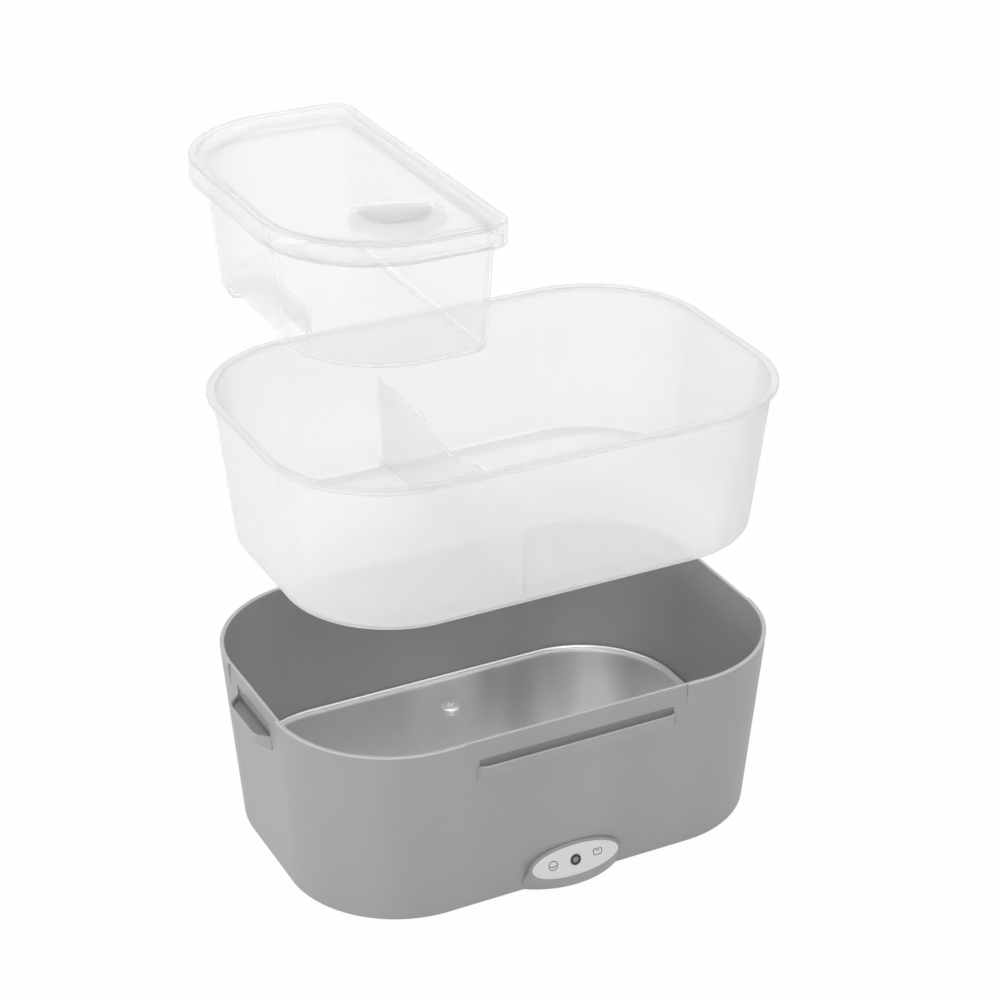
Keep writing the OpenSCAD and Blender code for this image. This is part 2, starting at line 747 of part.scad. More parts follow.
module lamp_lead() {
    t = panel_tilt;
    d = [0, cos(t), -sin(t)];
    b = [0, -panel_y, panel_z] + (fit_gap - board_z) * d;
    e = [tab_side[0], -tab_side[1], tab_z];
    color("#c8c8c8") lead([b, b + 1.6 * d, b + [-5, 6, run_z - b[2]], [-26, -50, run_z],
        [tab_side[0] + 4, -34, run_z], [tab_side[0] + 1, -20, tab_z - 2.5],
        e - [0, 2.4, 0], e], lead_r);
}

// ---- Food tray ----
tray_seat = rim_z + seat_gap;
tray_under = tray_seat + tray_raise;
tray_top = tray_under + rim_h;
tray_foot = plate_z + seat_gap + tray_raise;
tray_floor = tray_foot + ring_h + tray_wall;

function blend(a, b, t) = a + (b - a) * t;
function tray_t(z) = (z - tray_foot) / (tray_under - tray_foot);
function tray_x(z) =
    blend(skin_x(plate_z) - wall - tray_low_gap, base_x / 2 - wall - tray_gap, tray_t(z));
function tray_y(z) =
    blend(skin_y(plate_z) - wall - tray_low_gap, base_y / 2 - wall - tray_gap, tray_t(z));
function tray_r(z) = blend(tray_low_r, corner_r - wall - tray_gap, tray_t(z));
function tray_ring(inset, z) = even(tray_x(z) - inset, tray_y(z) - inset, tray_r(z) - inset, z);
// The rim's own outline lies inside the housing's rim
function rim_ring(inset, z) =
    let (i = rim_back + inset) even(base_x / 2 - i, base_y / 2 - i, corner_r - i, z);
// Quarter rounds of the bottom edge, outside and inside
function tray_edge_out(a) =
    tray_ring(tray_edge * (1 - cos(a)), tray_foot + tray_edge * (1 - sin(a)));
function tray_edge_in(a) =
    let (r = tray_edge - tray_wall)
    tray_ring(tray_wall + r * (1 - cos(a)), tray_foot + tray_wall + r * (1 - sin(a)));

module tray_shell() {
    w = wall + tray_gap - rim_back;
    mid = (w + tray_wall) / 2;
    ring_in = tray_edge + ring_w;
    loft([tray_ring(ring_in + ring_h, tray_foot + ring_h),
          tray_ring(ring_in, tray_foot),
          tray_edge_out(90), tray_edge_out(60), tray_edge_out(30), tray_edge_out(0),
          tray_ring(0, tray_under - EPS), rim_ring(w - 0.4, tray_under),
          rim_ring(0.5, tray_under), rim_ring(0, tray_under + 0.5),
          rim_ring(0, tray_top - 1.1), rim_ring(0.35, tray_top - 0.4), rim_ring(1.1, tray_top),
          rim_ring(w + tray_wall - 0.9, tray_top), rim_ring(w + tray_wall - 0.25, tray_top - 0.4),
          rim_ring(w + tray_wall, tray_top - 1.2), tray_ring(tray_wall, tray_under - 1.5),
          tray_edge_in(0), tray_edge_in(30), tray_edge_in(60), tray_edge_in(90),
          tray_ring(ring_in - tray_wall * 0.4, tray_foot + tray_wall),
          tray_ring(ring_in + ring_h - tray_wall * 0.4, tray_floor)]);
}

function scoop(y) =
    let (t = max(0, min(1, (abs(y) - scoop_flat) / scoop_slope)))
    divider_h - scoop_depth * (1 + cos(180 * t)) / 2;

module divider() {
    half = tray_wall / 2;
    low = tray_foot + tray_wall / 2;
    y_at = function (h) tray_y(tray_foot + h) - half;
    y_top = y_at(divider_h);
    y_low = y_at(tray_edge);
    y_foot = tray_y(tray_foot) - tray_edge;
    y_step = tray_y(tray_foot) - tray_edge - ring_w;
    n = 24;
    span = scoop_flat + scoop_slope;
    top = [for (i = [0:n]) let (y = span - 2 * span * i / n) [y, tray_foot + scoop(y)]];
    translate([divider_x - divider_t / 2, 0, 0]) rotate([90, 0, 90])
        linear_extrude(divider_t) polygon(concat(
            [[-y_foot, low], [-y_step, low], [-y_step + ring_h, low + ring_h],
             [y_step - ring_h, low + ring_h], [y_step, low], [y_foot, low],
             [y_low, tray_foot + tray_edge], [y_top, tray_foot + divider_h]],
            top, [[-y_top, tray_foot + divider_h], [-y_low, tray_foot + tray_edge]]));
}

module food_tray() {
    color("#eef0f1", 0.5) union() {
        tray_shell();
        divider();
    }
}

// ---- Side box ----
box_z = tray_top + seat_gap + box_raise;
box_foot = box_z - box_depth;
box_top = box_z + upstand;
lid_x0 = -(base_x / 2 - rim_back);
lid_x1 = divider_x - divider_t / 2 - lid_gap;
lid_y = base_y / 2 - rim_back;
hang = wall + tray_gap + tray_wall + box_gap - rim_back;
box_r = corner_r - rim_back - hang;

function dee(x0, x1, hy, rl, rr, z) =
    let (b = max(0.3, min(rr, (x1 - x0) * 0.4, hy - 0.2)),
         a = max(0.3, min(rl, x1 - x0 - b - 0.2, hy - 0.2)))
    at(plan(x0, x1, hy, a, b), z);
function lid_ring(i, z) = dee(lid_x0 + i, lid_x1 - i, lid_y - i, lid_round - i, lid_corner - i, z);
function box_t(z) = max(0, (box_z - z) / box_depth);
function box_ring(i, z) =
    let (t = box_t(z))
    dee(lid_x0 + hang + box_draft_x * t + i, lid_x1 - box_inset - box_draft_in * t - i,
        lid_y - hang - box_draft_y * t - i, blend(box_r, box_low_r, t) - i,
        box_corner - i, z);
function box_edge_ring(i, a) =
    let (r = box_edge - i) box_ring(i + r * (1 - cos(a)), box_foot + i + r * (1 - sin(a)));

module box_notch(g) {
    x0 = lid_x0 + hang + box_draft_x;
    x1 = x0 + notch_len + g;
    half = notch_half + g;
    r = 4 + g;
    intersection() {
        translate([0, half + EPS, 0]) rotate([90, 0, 0]) linear_extrude(2 * half + 2 * EPS)
            polygon([[x0 - 20, box_foot - 10], [x1 + 1, box_foot - 10],
                     [x1 + 1, box_foot + notch_high + g], [x1, box_foot + notch_high + g],
                     [x0 - 2, box_foot + notch_low + g], [x0 - 20, box_foot + notch_low + g]]);
        translate([0, 0, box_foot - 10]) linear_extrude(40) {
            translate([x0 - 20, -half]) square([x1 - r - x0 + 20, 2 * half]);
            translate([x0 - 20, -half + r]) square([x1 - x0 + 20, 2 * (half - r)]);
            for (s = [-1, 1]) translate([x1 - r, s * (half - r)]) circle(r);
        }
    }
}

module side_box() {
    f = box_wall + seat_gap;
    color("#f4f6f7", 0.35) difference() {
        loft([box_edge_ring(0, 90), box_edge_ring(0, 60), box_edge_ring(0, 30),
              box_edge_ring(0, 0), box_ring(0, box_z - EPS), lid_ring(f + 0.2, box_z),
              lid_ring(f, box_z + 0.2), lid_ring(f, box_z + flange_t - 0.3),
              lid_ring(f + 0.3, box_z + flange_t), box_ring(0, box_z + flange_t + EPS),
              box_ring(0, box_top - 0.3), box_ring(0.3, box_top)]);
        box_notch(0);
        difference() {
            loft([box_edge_ring(box_wall, 90), box_edge_ring(box_wall, 60),
                  box_edge_ring(box_wall, 30), box_edge_ring(box_wall, 0),
                  box_ring(box_wall, box_z), box_ring(box_wall, box_top + 5)]);
            box_notch(box_wall);
        }
    }
}

// ---- Side lid ----
lid_z = box_z + seat_gap;
lid_top = lid_z + lid_h;
lid_panel = lid_top - border_h;
lid_under = lid_panel - box_wall;

// The dish's outline and the ball's cap that is the pocket in its floor, grown by g
dish_z = lid_panel - thumb_depth;
ball_r = (pocket_r * pocket_r + pocket_depth * pocket_depth) / (2 * pocket_depth);
function ball_ring(r, a) =
    [for (j = [0:35]) [r * sin(a) * cos(10 * j), r * sin(a) * sin(10 * j), -r * cos(a)]];
module thumb_place()
    translate([lid_x1 - thumb_x, -lid_y + thumb_y, 0]) rotate([0, 0, thumb_turn]) children();
module thumb_disc(r, low, high)
    loft([for (z = [low, high]) [for (j = [0:59]) [r * cos(6 * j), r * sin(6 * j), z]]]);
module thumb_ball(g) {
    span = min(80, asin(pocket_r / ball_r) * 1.5);
    translate([0, pocket_back, dish_z - pocket_depth + ball_r])
        loft([for (k = [0.5:1:7.5]) ball_ring(ball_r + g, span * k / 7.5)]);
}

module side_lid() {
    bore = box_wall + seat_gap;
    color("#f4f6f7", 0.35) difference() {
        union() {
            loft([box_ring(bore + rib_t, lid_under), box_ring(bore + rib_t, lid_under - rib_h),
                  box_ring(bore, lid_under - rib_h), box_ring(bore, lid_under - EPS),
                  lid_ring(box_wall, lid_under), lid_ring(box_wall, lid_z),
                  lid_ring(0.2, lid_z), lid_ring(0, lid_z + 0.2),
                  lid_ring(0, lid_top - lid_edge), lid_ring(lid_edge * 0.3, lid_top - lid_edge * 0.3),
                  lid_ring(lid_edge, lid_top), lid_ring(border_w - 0.3, lid_top),
                  lid_ring(border_w, lid_top - 0.3), lid_ring(border_w + 0.5, lid_panel)]);
            thumb_place() intersection() {
                thumb_disc(thumb_r + box_wall, dish_z - 12, dish_z - 0.1);
                thumb_ball(box_wall);
            }
        }
        thumb_place() intersection() {
            thumb_disc(thumb_r, dish_z - 12, lid_top + 1);
            union() {
                translate([-30, -30, dish_z]) cube([60, 60, 5]);
                thumb_ball(0);
            }
        }
    }
}

housing();
bottom_cover();
rubber_feet();
cover_screws();
heating_plate();
plate_seal();
plate_screw();
clamp_nut();
heater();
heater_clamp();
thermostat();
thermal_fuse();
insulation_pad();
power_inlet();
inlet_pins();
inlet_screws();
indicator_panel();
led_bezel();
led_lens();
led();
led_board();
line_lead();
neutral_lead();
lamp_lead();
food_tray();
side_box();
side_lid();
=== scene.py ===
# %% [markdown]
# # An electric lunch box, opened up
# The real object is three bodies that nest: a grey heated base, a frosted food tray with a
# divider, and a clear side box with its own lid. Here they stand above one another. The
# exact solids come in as a fixed frame. The fine moulded surfaces are rebuilt in place of
# some of them, and every piece gets a finish made of shader nodes.

# %% Load the frame
import json
import math
from types import SimpleNamespace

import bmesh
import bpy
from mathutils import Matrix, Vector


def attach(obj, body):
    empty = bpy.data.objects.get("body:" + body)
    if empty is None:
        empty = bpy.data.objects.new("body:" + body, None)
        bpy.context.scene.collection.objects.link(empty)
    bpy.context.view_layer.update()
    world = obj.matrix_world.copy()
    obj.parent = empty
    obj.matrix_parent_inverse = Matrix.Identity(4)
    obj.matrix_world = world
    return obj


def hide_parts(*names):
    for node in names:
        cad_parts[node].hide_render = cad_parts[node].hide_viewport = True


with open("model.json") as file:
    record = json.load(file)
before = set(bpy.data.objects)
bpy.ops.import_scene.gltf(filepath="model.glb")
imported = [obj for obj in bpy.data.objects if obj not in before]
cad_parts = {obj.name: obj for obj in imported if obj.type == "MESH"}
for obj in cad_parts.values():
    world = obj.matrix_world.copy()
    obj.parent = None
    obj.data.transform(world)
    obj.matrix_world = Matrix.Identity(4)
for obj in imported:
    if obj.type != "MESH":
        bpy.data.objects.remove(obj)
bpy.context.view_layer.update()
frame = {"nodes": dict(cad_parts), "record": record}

# %% [markdown]
# ## Camera
# The photograph is taken from above, in front and to the left, with a long lens, so the
# three bodies keep nearly the same scale. The angles were fitted to their outlines. A
# camera can be aimed with a constraint. Here it is built from its own right, up and back
# directions, so it has no roll and its place is plain to read.

# %% Camera
turn, lift = math.radians(-26.92), math.radians(27.30)
distance, aim_side, aim_height = 1.1184, 0.00262, 0.1507  # metres
back = Vector((math.sin(turn) * math.cos(lift), -math.cos(turn) * math.cos(lift),
               math.sin(lift)))
right = Vector((math.cos(turn), math.sin(turn), 0))
target = right * aim_side + Vector((0, 0, aim_height))
camera = bpy.data.objects.new("camera", bpy.data.cameras.new("camera"))
camera.data.sensor_width, camera.data.lens = 36, 94.04
camera.matrix_world = Matrix.Translation(target + back * distance) @ Matrix(
    (right, back.cross(right), back)).transposed().to_4x4()
bpy.context.collection.objects.link(camera)
bpy.context.scene.camera = camera
print("camera at", [round(v, 4) for v in camera.matrix_world.translation])

# %% [markdown]
# ## Writing finishes as expressions
# A finish is easier to read as a formula than as a web of nodes. `Wire` holds one output
# of a node and turns +, -, * and abs() into Math nodes.


# %% Wires
class Wire:
    def __init__(self, finish, socket):
        self.finish, self.socket = finish, socket

    def math(self, operation, *values):
        return self.finish.node("Math", {"operation": operation}, dict(enumerate(values)))

    def __add__(self, other):
        return self.math("ADD", self, other)

    def __sub__(self, other):
        return self.math("SUBTRACT", self, other)

    def __rsub__(self, other):
        return self.math("SUBTRACT", other, self)

    def __mul__(self, other):
        return self.math("MULTIPLY", self, other)

    def __abs__(self):
        return self.math("ABSOLUTE", self)

    __radd__, __rmul__ = __add__, __mul__


def larger(first, second):
    return first.math("MAXIMUM", first, second)


print("wires ready")

# %% [markdown]
# `Finish` holds a material. Its method `node` adds any node: the type, the settings, and
# the values or wires of its sockets. The other methods are short names for the nodes that
# this object's finishes are made of. All of them read Object coordinates, which are the
# same for every piece, because each piece keeps its place in its mesh.


# %% Finishes
class Finish:
    def __init__(self, name, **values):
        self.name = name
        self.material = bpy.data.materials.new(name)
        self.material.use_nodes = True
        self.tree = self.material.node_tree
        self.shader = self.tree.nodes["Principled BSDF"]
        self.feed(**values)

    def put(self, socket, value):
        if isinstance(value, Wire):
            self.tree.links.new(value.socket, socket)
        elif socket.type == "RGBA" and len(value) == 3:
            socket.default_value = (*value, 1)
        else:
            socket.default_value = value

    def feed(self, **values):
        """Values or wires for the shader's sockets, as in Base_Color=..."""
        for key, value in values.items():
            self.put(self.shader.inputs[key.replace("_", " ")], value)

    def node(self, kind, settings=None, values=None, out=0):
        node = self.tree.nodes.new("ShaderNode" + kind)
        for key, value in (settings or {}).items():
            setattr(node, key, value)
        for key, value in (values or {}).items():
            self.put(node.inputs[key], value)
        return Wire(self, node.outputs[out])

    def axes(self):
        """Where a point lies along x, y and z, in metres."""
        spot = self.node("TexCoord", out="Object")
        return [self.node("SeparateXYZ", values={0: spot}, out=k) for k in range(3)]

    def place(self, scale=(1, 1, 1), turned=(0, 0, 0), spot=None):
        spot = spot or self.node("TexCoord", out="Object")
        return self.node("Mapping", values={"Vector": spot, "Rotation": turned,
                                            "Scale": scale})

    def noise(self, scale, detail=2.0, where=None):
        return self.node("TexNoise", values={"Vector": where or self.place(),
                                             "Scale": scale, "Detail": detail})

    def blend(self, amount, first, second):
        return self.node("Mix", {"data_type": "RGBA"}, {0: amount, 6: first, 7: second}, out=2)

    def step(self, value, none, full):
        """0 where value is at `none` millimetres, 1 at `full`."""
        return self.node("MapRange", values={"Value": value, "From Min": none / 1000,
                                             "From Max": full / 1000})

    def bump(self, height, strength):
        dent = self.node("Bump", values={"Height": height, "Strength": strength,
                                         "Distance": 0.0001})
        self.feed(Normal=dent)


WHITE = (1, 1, 1)


def grey(level):
    """Linear grey for a level as it is seen in a picture, 0 to 255."""
    share = level / 255
    value = share / 12.92 if share <= 0.04045 else ((share + 0.055) / 1.055) ** 2.4
    return (value, value, value)


def tint(red, green, blue):
    return (grey(red)[0], grey(green)[0], grey(blue)[0])


print("finish helpers ready")

# %% [markdown]
# ## Studio floor
# The object was photographed on a white sweep. More light would turn a floor white, but it
# would bleach the object too. So the floor is a matt, pale sheet that is mixed with plain
# white for the camera, for reflections and for what clear walls let through. Only a trace
# of the soft shadow stays on it.

# %% Floor
floor_mesh = bmesh.new()
bmesh.ops.create_grid(floor_mesh, x_segments=1, y_segments=1, size=6)
floor_data = bpy.data.meshes.new("floor")
floor_mesh.to_mesh(floor_data)
floor_mesh.free()
floor = bpy.data.objects.new("floor", floor_data)
bpy.context.collection.objects.link(floor)


def looked_at(finish):
    """1 for a ray of the camera, a reflection or a clear wall, 0 for light that falls."""
    camera_ray, glossy_ray, clear_ray = [finish.node("LightPath", out=ray) for ray in (
        "Is Camera Ray", "Is Glossy Ray", "Is Transmission Ray")]
    return larger(larger(camera_ray, glossy_ray), clear_ray)


sweep = Finish("sweep", Base_Color=grey(243), Roughness=0.9, Specular_IOR_Level=0.1)
white = sweep.node("Emission", values={"Color": WHITE, "Strength": 1.0})
mixed = sweep.node("MixShader", values={
    0: looked_at(sweep) * 0.97, 1: Wire(sweep, sweep.shader.outputs[0]), 2: white})
sweep.put(sweep.tree.nodes["Material Output"].inputs["Surface"], mixed)
floor.data.materials.append(sweep.material)
print("floor faces:", len(floor.data.polygons))

# %% [markdown]
# ## Studio air
# The world is white where it is looked at, and lights the object at half that strength. Its
# nodes are written like a finish, with the Background as the shader.


# %% World
class Air(Finish):
    def __init__(self, name):
        self.world = bpy.data.worlds.new(name)
        self.world.use_nodes = True
        self.tree = self.world.node_tree
        self.shader = self.tree.nodes["Background"]


studio = Air("studio")
studio.feed(Color=WHITE, Strength=looked_at(studio) * 0.5 + 0.5)
bpy.context.scene.world = studio.world
bpy.context.scene.view_settings.view_transform = "Standard"
print("world:", bpy.context.scene.world.name)

# %% [markdown]
# ## Lamps
# The photograph has soft light from all round, a little stronger from above and from the
# front. A large lamp above gives the even top light. A low one and a high one in front
# light the front wall and the far inside of the base. The narrow, low one at the left
# brightens the end wall and its catch lip.


# %% Lamps
def soft_box(name, place, aim, wide, high, watts):
    lamp = bpy.data.lights.new(name, "AREA")
    lamp.shape, lamp.size, lamp.size_y, lamp.energy = "RECTANGLE", wide, high, watts
    holder = bpy.data.objects.new(name, lamp)
    spot = Vector(place)
    holder.matrix_world = Matrix.Translation(spot) @ (
        (spot - Vector(aim)).to_track_quat("Z", "Y").to_matrix().to_4x4())
    bpy.context.collection.objects.link(holder)


soft_box("top light", (0.1, 0.1, 1.5), (0, 0, 0.1), 1.4, 1.4, 8)
soft_box("front light", (-0.85, -1.25, 0.22), (0, 0, 0.12), 0.8, 0.36, 2.5)
soft_box("high front light", (-0.25, -1.3, 0.85), (0, 0.03, 0.05), 0.7, 0.4, 4.5)
soft_box("low left light", (-1.35, 0.3, 0.12), (0, 0, 0.06), 0.5, 0.2, 4.8)

# %% [markdown]
# ## Heights
# Some finishes change with height, as at the rim's painted highlight, and the shapes use the
# same heights.
# They are millimetres above the floor, with the bodies standing apart.

# %% Heights of the bodies
FOOT, LIP, RIM = 1.6, 74.6, 86.8               # base: wall's foot, catch lips, rim
T_FOOT, T_UNDER, T_TOP = 139.9, 205.6, 208.0   # tray: foot, underside and top of the rim
B_FOOT, B_FLANGE, B_TOP = 253.9, 300.4, 307.2  # side box: foot, flange, top
L_LOW, DISH, L_TOP = 300.7, 308.3, 310.4       # side lid: lower edge, thumb dish, top
DIVIDER_X = -21.5                              # middle of the tray's divider
THUMB_X, THUMB_Y = -65.4, -50.0                # middle of the lid's thumb dish
print("tops:", RIM, T_TOP, B_TOP, L_TOP)

# %% [markdown]
# ## Grey moulded plastic
# The housing is moulded plastic with a fine satin grain and a faintly uneven grey. One grey
# would look like paint. A broad, upright cloud shifts it a little and a fine noise roughens
# it. The edges of the rim and of the catch lips are painted lighter, a painted highlight
# where light catches those rounded edges. A mask of place finds those edges, because they
# lie at known heights.

# %% Grey moulded plastic
shell_grey = Finish("grey_plastic")
x, y, z = shell_grey.axes()
cloudy = shell_grey.noise(24, 2, shell_grey.place((1, 1, 0.12)))
grain = shell_grey.noise(2600)
on_lip = larger(shell_grey.step(abs(y), 79.4, 79.6), shell_grey.step(abs(x), 118.7, 118.9))
# Painted highlight: the rim and lip edges are painted lighter, grey 198, where light catches
# them.
painted_edge_highlight = larger(shell_grey.step(z, RIM - 0.7, RIM - 0.2),
              on_lip * shell_grey.step(z, LIP - 0.5, LIP - 0.3) * 0.6)
moulded = shell_grey.blend(cloudy, grey(151), grey(164))
shell_grey.feed(Base_Color=shell_grey.blend(painted_edge_highlight, moulded, grey(198)),
                Roughness=grain * 0.1 + 0.38)
shell_grey.bump(grain, 0.12)
print("shell nodes:", len(shell_grey.tree.nodes))

# %% [markdown]
# The cover below is a darker, coarser moulding, and the feet are dull rubber whose fine
# pits vary the gloss.

# %% Cover and feet
cover_grey = Finish("cover_plastic", Roughness=0.6)
cover_grey.feed(Base_Color=cover_grey.blend(cover_grey.noise(20), grey(86), grey(97)))
cover_grey.bump(cover_grey.noise(1800, 3), 0.3)

foot_rubber = Finish("foot_rubber", Base_Color=grey(38))
foot_rubber.feed(Roughness=foot_rubber.noise(300) * 0.2 + 0.68)
foot_rubber.bump(foot_rubber.noise(900), 0.4)
print("cover and rubber ready")

# %% [markdown]
# ## Rolled steel of the heating plate
# Rolled sheet has fine streaks along one direction, so that noise is stretched by the
# Mapping node. Broad, soft bands of painted reflection run a little askew over the right
# half, which is also painted a little lighter as painted reflection, and a speckle grows
# towards the front. The rolled bead is smooth and painted white, a painted highlight along
# the ring. The finish is only half metallic, which keeps it pale in a white room.

# %% Plate steel
plate_steel = Finish("plate_steel")
x, y, z = plate_steel.axes()
streaks = plate_steel.noise(700, 3, plate_steel.place((1, 0.04, 0.04)))
askew = plate_steel.place(turned=(0, 0, 0.47))
reflection_bands = plate_steel.noise(34, 1, plate_steel.place((1, 0.08, 0.08), spot=askew))
speckle = plate_steel.noise(1300) * plate_steel.step(y, 45, -20)
right_half = plate_steel.step(x, -30, 10)
bead = plate_steel.step(z, 21.3, 21.6)
flat_part = 1 - bead
# Painted reflection: askew bands and a lighter right half, painted into the sheet's colour.
light = (streaks * 0.05 + speckle * 0.6 + (reflection_bands - 0.5) * right_half * 2.2
         + right_half * 0.12 + 0.44)
sheet_and_reflection_colour = plate_steel.blend(light, grey(150), WHITE)
# Painted highlight: the bead is painted white all round.
plate_steel.feed(Base_Color=plate_steel.blend(bead, sheet_and_reflection_colour, WHITE),
                 Roughness=(streaks * 0.1 - 0.03) * flat_part + 0.3,
                 Metallic=bead * 0.25 + 0.45)
plate_steel.bump((speckle * 0.8 + streaks * 0.2) * flat_part, 0.12)
print("plate nodes:", len(plate_steel.tree.nodes))

# %% [markdown]
# ## Other metals
# Screws, strap, heater and pins differ in shade, in gloss and in the direction of their
# brushing, so one function makes them. The domed screw is polished chrome, and it is only
# partly metallic, so that it stays bright among white things.


# %% Screws, strap, heater and pins
def metal(name, shade, rough, streak=(1, 1, 1), depth=0.15):
    finish = Finish(name, Base_Color=shade, Metallic=1.0)
    lines = finish.noise(900, 2, finish.place(streak))
    finish.feed(Roughness=lines * 0.12 + (rough - 0.06))
    finish.bump(lines, depth)
    return finish


screw_steel = metal("screw_steel", grey(200), 0.32)
dome_chrome = metal("dome_chrome", WHITE, 0.22, depth=0.03)
dome_chrome.feed(Metallic=0.6)
heater_aluminium = metal("heater_aluminium", grey(205), 0.45, (1, 0.05, 1))
strap_steel = metal("strap_steel", grey(185), 0.4, (0.05, 1, 1))
pin_brass = metal("pin_brass", grey(215), 0.25)
print("metals ready")

# %% [markdown]
# ## Small parts
# The small parts are plain silicone, ceramic, fibre and plastics. Each has two shades that
# lie close together, mixed by a noise that also varies the gloss, and a fine bump. The ink
# of the signs is a lighter version of the bezel's plastic, so it shares that slot.


# %% Small plain finishes
def plain(name, first, second, rough, scale=60, depth=0.1):
    finish = Finish(name)
    spots = finish.noise(scale, 3)
    finish.feed(Base_Color=finish.blend(spots, first, second),
                Roughness=spots * 0.12 + (rough - 0.06))
    finish.bump(finish.noise(1500), depth)
    return finish


seal_silicone = plain("seal_silicone", grey(220), grey(228), 0.5)
fuse_ceramic = plain("fuse_ceramic", tint(222, 214, 190), tint(232, 224, 202), 0.3)
pad_fibre = plain("pad_fibre", tint(214, 206, 188), tint(236, 228, 210), 0.9, 260, 1.0)
inlet_black = plain("inlet_plastic", grey(30), grey(36), 0.45)
panel_pale = plain("panel_plastic", grey(216), grey(222), 0.3)
bezel_dark = plain("bezel_plastic", grey(34), grey(40), 0.35)
sign_ink = plain("bezel_plastic", grey(52), grey(60), 0.5)
lens_grey = plain("lens_plastic", grey(120), grey(140), 0.2)
led_clear = plain("led_epoxy", grey(225), grey(236), 0.15)
board_green = plain("board_laminate", tint(40, 100, 60), tint(52, 116, 70), 0.4)
lead_brown = plain("lead_brown", tint(110, 66, 38), tint(122, 74, 44), 0.4)
lead_blue = plain("lead_blue", tint(40, 84, 150), tint(48, 94, 162), 0.4)
lead_white = plain("lead_white", grey(214), grey(224), 0.4)
print("small finishes ready")

# %% [markdown]
# ## Frosted and clear plastic
# Glass shaders bend the view, and thin moulded walls hardly do. So Alpha lets through what
# is behind, and the white of the plastic covers the rest. A wall seen along its face, as at
# a rounded edge, is a longer way through plastic, so there Alpha rises and an edge shows.
# Along rims and feet a few narrow bands of height are painted as fine grey lines and made
# denser there: painted reflections, standing in for the dark lines that rounded edges mirror.


# %% Milky plastics
def milky(name, rough, spread, thin, thick, lines):
    """The finish, its wire for Alpha from `thin` to `thick`, its axes and its colour."""
    finish = Finish(name, Roughness=rough, Transmission_Weight=spread, IOR=1.15)
    slope = finish.node("LayerWeight", values={"Blend": 0.5}, out="Facing")
    axes = finish.axes()
    # Painted reflection: grey lines at the given heights of rims and feet.
    painted_edge_lines = 0
    for low, high in lines:
        painted_edge_lines = painted_edge_lines + finish.step(axes[2], low, low + 0.2) * finish.step(
            axes[2], high, high - 0.2)
    colour = finish.blend(painted_edge_lines, grey(249), grey(218))
    finish.feed(Base_Color=colour)
    return finish, slope * slope * (thick - thin) + thin + painted_edge_lines * 0.25, axes, colour


clear_box, density, _, _ = milky(
    "clear_plastic", 0.3, 0.5, 0.09, 0.6,
    [(B_FOOT + 0.02, B_FOOT + 1.3), (B_FLANGE, B_FLANGE + 0.8)])
clear_box.feed(Alpha=density)
clear_box.bump(clear_box.noise(160), 0.05)
print("box nodes:", len(clear_box.tree.nodes))

# %% [markdown]
# The tray's divider is made more see-through than its walls, which lifts the shade that
# falls on it inside the tray: painted light. It is part of the same moulding, so a mask of
# place finds it: close to its plane, above the floor, and inside the walls, which lean
# outwards.

# %% Frosted tray
frosted, density, (x, y, z), _ = milky(
    "frosted_plastic", 0.45, 0.35, 0.43, 0.8,
    [(T_FOOT, T_FOOT + 1.1), (T_UNDER, T_UNDER + 0.7), (T_TOP - 1, T_TOP - 0.2)])
in_sheet = frosted.step(abs(x - DIVIDER_X / 1000), 1.3, 1.1)
above_floor = frosted.step(z, 144.2, 144.6)
inside = frosted.step(abs(y) - z * 0.092, 55.4, 55.0)
# Painted light: the divider is half as dense, which lifts the shade on it.
frosted.feed(Alpha=density * (1 - in_sheet * above_floor * inside * 0.5))
frosted.bump(frosted.noise(1200), 0.2)
print("tray nodes:", len(frosted.tree.nodes))

# %% [markdown]
# The finger pocket of the lid is painted greyer and denser, as painted shade in its hollow.
# It is found by its depth and by the distance from its middle, compared as squares, which
# saves a root.

# %% Clear lid
clear_lid, density, (x, y, z), colour = milky(
    "lid_plastic", 0.3, 0.5, 0.07, 0.6,
    [(L_LOW - 0.02, L_LOW + 0.8), (L_TOP - 1.4, L_TOP - 0.05)])
across, along = x - THUMB_X / 1000, y - THUMB_Y / 1000
near = clear_lid.node("MapRange", values={
    "Value": across * across + along * along,
    "From Min": 0.0189 ** 2, "From Max": 0.0187 ** 2})
# Painted shade: the hollow of the pocket is drawn grey 216 and denser.
pocket_shade = near * clear_lid.step(z, DISH - 0.1, DISH - 0.2)
clear_lid.feed(Alpha=density + pocket_shade * 0.35,
               Base_Color=clear_lid.blend(pocket_shade, colour, grey(216)))
clear_lid.bump(clear_lid.noise(160), 0.05)
print("lid nodes:", len(clear_lid.tree.nodes))

# %% [markdown]
# ## Dressing the solids
# The record names a slot for every solid. A solid whose shape is right keeps its mesh and
# gets the finish of that slot. The ones that are rebuilt below are hidden later.

# %% Give every solid the finish of its slot
finishes = {f.name: f.material for f in (
    shell_grey, cover_grey, foot_rubber, screw_steel, plate_steel, seal_silicone, dome_chrome,
    heater_aluminium, strap_steel, fuse_ceramic, pad_fibre, inlet_black, pin_brass, panel_pale,
    bezel_dark, lens_grey, led_clear, board_green, lead_brown, lead_blue, lead_white, frosted,
    clear_box, clear_lid)}
slot_of = {row["node"]: row["material_slot"] for row in frame["record"]["subparts"]}
for name, solid in frame["nodes"].items():
    solid.data.materials.clear()
    solid.data.materials.append(finishes[slot_of[name]])
print("finished solids:", len(slot_of))

# %% [markdown]
# ## Lofted walls
# The moulded bodies are rounded rectangles that change with height. The solids use few
# sides, enough for their exact shape. Here the same outlines are drawn again with more
# sides: a circle is made, its four quarters are moved apart, and the outlines are
# bridged one to the next. All of it is worked out in millimetres and scaled at the end.

# %% Outlines and lofts
STEPS = 20  # sides of a rounded corner


